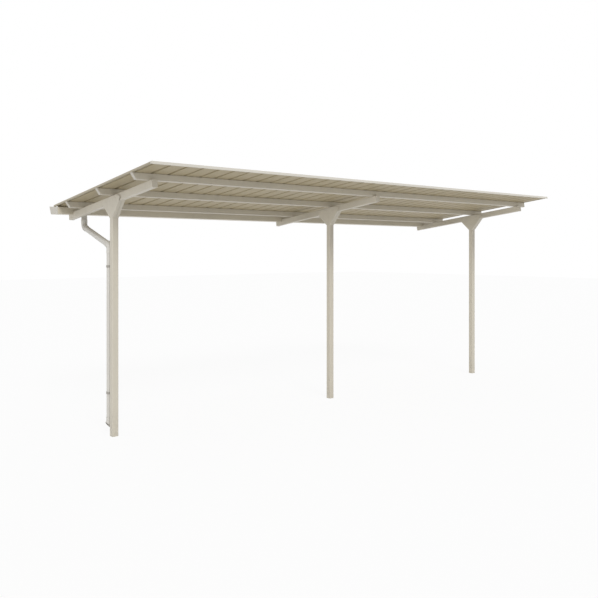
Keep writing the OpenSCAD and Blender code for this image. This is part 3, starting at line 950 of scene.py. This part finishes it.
@dataclass
class Drainage:
    """Downpipe and clamps: socket rims, ear bolts and foot screws."""

    layout: Layout
    fixings: Fixings
    socket_d: float = 0.0646
    elbow_d: float = 0.062
    socket_l: float = 0.028
    bend_r: float = 0.060
    shoe_r: float = 0.050
    shoe_turn: float = math.radians(55)
    rim_r: float = 0.0016
    rim_sides: int = 8
    rim_steps: int = 64
    clamp_heights: tuple[float, ...] = (0.395, 1.594)
    ear_y: float = 0.1333
    ear_half: float = 0.005
    ear_bolt_d: float = 0.006
    foot_y: float = 0.033
    foot_screw: float = 0.0145
    foot_screw_d: float = 0.0048

    def build(self) -> None:
        """Builds and dresses the rims, bolts and screws."""
        dress(self.socket_rims().piece("socket_rims"), PIPE_PLASTIC)
        dress(self.clamp_bolts().piece("clamp_bolts"), ZINC)
        dress(self.clamp_screws().piece("clamp_screws"), ZINC)

    def rim(self, diameter: float) -> Surface:
        """Sweeps a round bead along a circle in the XY plane.

        Args:
            diameter: Diameter of the circle that the bead's middle follows.

        Returns:
            The rim.
        """
        ring = np.pad(circle(self.rim_steps), ((0, 0), (0, 1)))
        profile = np.tile(self.rim_r * circle(self.rim_sides), (self.rim_steps, 1, 1))
        return sweep(diameter / 2 * ring, ring, np.eye(3)[2], profile, True)

    def socket_rims(self) -> Surface:
        """Sets a rim on every socket's mouth and one on the shoe's lip.

        A socket's mouth lies past the bend's tangent length and the socket's own length from the corner
        of the bend. The tangent length is the bend's radius times the tangent of half its turn.

        Returns:
            The joint rims.
        """
        lay = self.layout
        drop, join, down = np.array(lay.drop), np.array(lay.join), np.array([0.0, 0.0, -1.0])
        slope = (join - drop) / np.linalg.norm(join - drop)
        turn = math.acos(slope @ down)
        reach = self.bend_r * math.tan(turn / 2) + self.socket_l - self.rim_r
        shoe = np.array([join[0], join[1], lay.shoe_z])
        sin, cos = math.sin(self.shoe_turn), math.cos(self.shoe_turn)
        lip = shoe + self.shoe_r * np.array([cos - 1, 0.0, -sin])
        mouths = [(drop - reach * down, down), (drop + reach * slope, slope), (join - reach * slope, slope),
                  (join + reach * down, down), (shoe - (self.socket_l - self.rim_r) * down, down)]
        rims = [self.rim(self.socket_d).placed(places_at(point[None], axis)) for point, axis in mouths]
        axis = np.array([-sin, 0.0, -cos])
        lip_rim = self.rim(self.elbow_d).placed(places_at((lip - self.rim_r * axis)[None], axis))
        return lip_rim.joined(*rims)

    def clamp_bolts(self) -> Surface:
        """Sets a bolt head and a nut on the two ears of each clamp.

        Returns:
            The joint bolts and nuts.
        """
        points = np.array([[-self.layout.bay, self.ear_y, height] for height in self.clamp_heights])
        out = np.array([self.ear_half, 0.0, 0.0])
        heads = self.fixings.set_at(Head.BOLT, self.ear_bolt_d, points - out, -out)
        return heads.joined(self.fixings.set_at(Head.NUT, self.ear_bolt_d, points + out, out))

    def clamp_screws(self) -> Surface:
        """Sets four screws in the corners of each clamp's foot plate.

        Returns:
            The joint screws.
        """
        sides = self.foot_screw * np.array([-1, 1])
        x, z, height = np.meshgrid(sides, sides, self.clamp_heights)
        points = np.stack([x - self.layout.bay, np.full(x.shape, self.foot_y), z + height], -1).reshape(-1, 3)
        return self.fixings.set_at(Head.RIVET, self.foot_screw_d, points, np.eye(3)[1])


@dataclass(frozen=True)
class Lamp:
    """A wide, distant lamp, aimed by its height and by its bearing from the front to the left."""

    name: str
    energy: float
    height: float
    bearing: float
    width: float = math.radians(20)

    def build(self) -> None:
        """Hangs the lamp."""
        light = bpy.data.lights.new(self.name, "SUN")
        light.energy, light.angle = self.energy, self.width
        show(self.name, light).rotation_euler = (math.pi / 2 - self.height, 0.0, -self.bearing)


@dataclass
class Studio:
    """Pale floor, soft light and the camera."""

    floor_half: float = 40.0
    floor_steps: int = 9
    floor_tone: float = 0.90
    floor_glow: float = 0.92
    sky: float = 0.57
    lamps: tuple[Lamp, ...] = (Lamp("key_lamp", 1.25, math.radians(36), math.radians(18)),
                               Lamp("side_lamp", 0.57, math.radians(1), math.radians(82), math.radians(6)))
    camera_at: Color = (-5.760, -6.291, 1.727)
    camera_turn: float = math.radians(-40)
    sensor: float = 36.0
    lens: float = 43.246
    shift_y: float = -0.0781

    def build(self) -> None:
        """Sets up floor, world, lamps, camera and the view transform."""
        self.floor()
        self.world()
        for lamp in self.lamps:
            lamp.build()
        camera = bpy.data.cameras.new("camera")
        camera.sensor_width, camera.lens, camera.shift_y = self.sensor, self.lens, self.shift_y
        eye = show("camera", camera)
        eye.location, eye.rotation_euler = self.camera_at, (math.pi / 2, 0.0, self.camera_turn)
        bpy.context.scene.camera = eye
        bpy.context.scene.view_settings.view_transform = "Standard"

    @staticmethod
    def seen(tree: bpy.types.NodeTree) -> Socket:
        """Tells the rays that see a surface from those that only carry its light.

        Args:
            tree: Node tree of the floor or of the sky.

        Returns:
            1 for camera, mirrored and transmitted rays and 0 for the rest.
        """
        path = tree.nodes.new("ShaderNodeLightPath")
        total = path.outputs["Is Camera Ray"]
        for name in ("Is Glossy Ray", "Is Transmission Ray"):
            node = tree.nodes.new("ShaderNodeMath")
            node.operation = "MAXIMUM"
            tree.links.new(total, node.inputs[0])
            tree.links.new(path.outputs[name], node.inputs[1])
            total = node.outputs[0]
        return total

    def floor(self) -> None:
        """Lays the floor, a flat grid at the foot of the posts that keeps a faint shadow.

        Point (i, k) is the i-th and k-th of equal steps from one side to the other, at no height.
        """
        steps = np.linspace(-self.floor_half, self.floor_half, self.floor_steps)
        x, y = np.meshgrid(steps, steps)
        index = np.arange(x.size).reshape(x.shape)
        quads = np.stack([index[:-1, :-1], index[:-1, 1:], index[1:, 1:], index[1:, :-1]], -1).reshape(-1, 4)
        surface = Surface(np.stack([x, y, 0 * x], -1).reshape(-1, 3), (quads,))
        plane = show("floor", surface.mesh("floor"))
        graph = Graph("pale_floor")
        diffuse, glow, mixed = (graph.add(f"ShaderNode{kind}") for kind in ("BsdfDiffuse", "Emission", "MixShader"))
        diffuse.inputs["Color"].default_value = (*(self.floor_tone,) * 3, 1.0)
        share = graph.math("MULTIPLY", self.seen(graph.tree), self.floor_glow)
        for socket, value in zip(mixed.inputs, (share, diffuse.outputs[0], glow.outputs[0])):
            graph.feed(socket, value)
        graph.feed(graph.output.inputs["Surface"], mixed.outputs[0])
        plane.data.materials.append(graph.material)

    def world(self) -> None:
        """Makes an even pale sky that is white where it is seen."""
        world = bpy.data.worlds.new("pale_sky")
        world.use_nodes = True
        tree = world.node_tree
        sky = tree.nodes["Background"]
        sky.inputs["Color"].default_value = (1.0, 1.0, 1.0, 1.0)
        level = tree.nodes.new("ShaderNodeMapRange")
        level.inputs["To Min"].default_value = self.sky
        tree.links.new(self.seen(tree), level.inputs["Value"])
        tree.links.new(level.outputs["Result"], sky.inputs["Strength"])
        bpy.context.scene.world = world


def main() -> None:
    """Builds the studio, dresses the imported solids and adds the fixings."""
    logging.basicConfig(level=logging.INFO, format="%(name)s: %(message)s")
    layout, fixings = Layout(), Fixings()
    Studio().build()
    dress_nodes()
    for assembly in (Skeleton(layout, fixings), Roof(layout, fixings), Drainage(layout, fixings)):
        assembly.build()


if __name__ == "__main__":
    main()
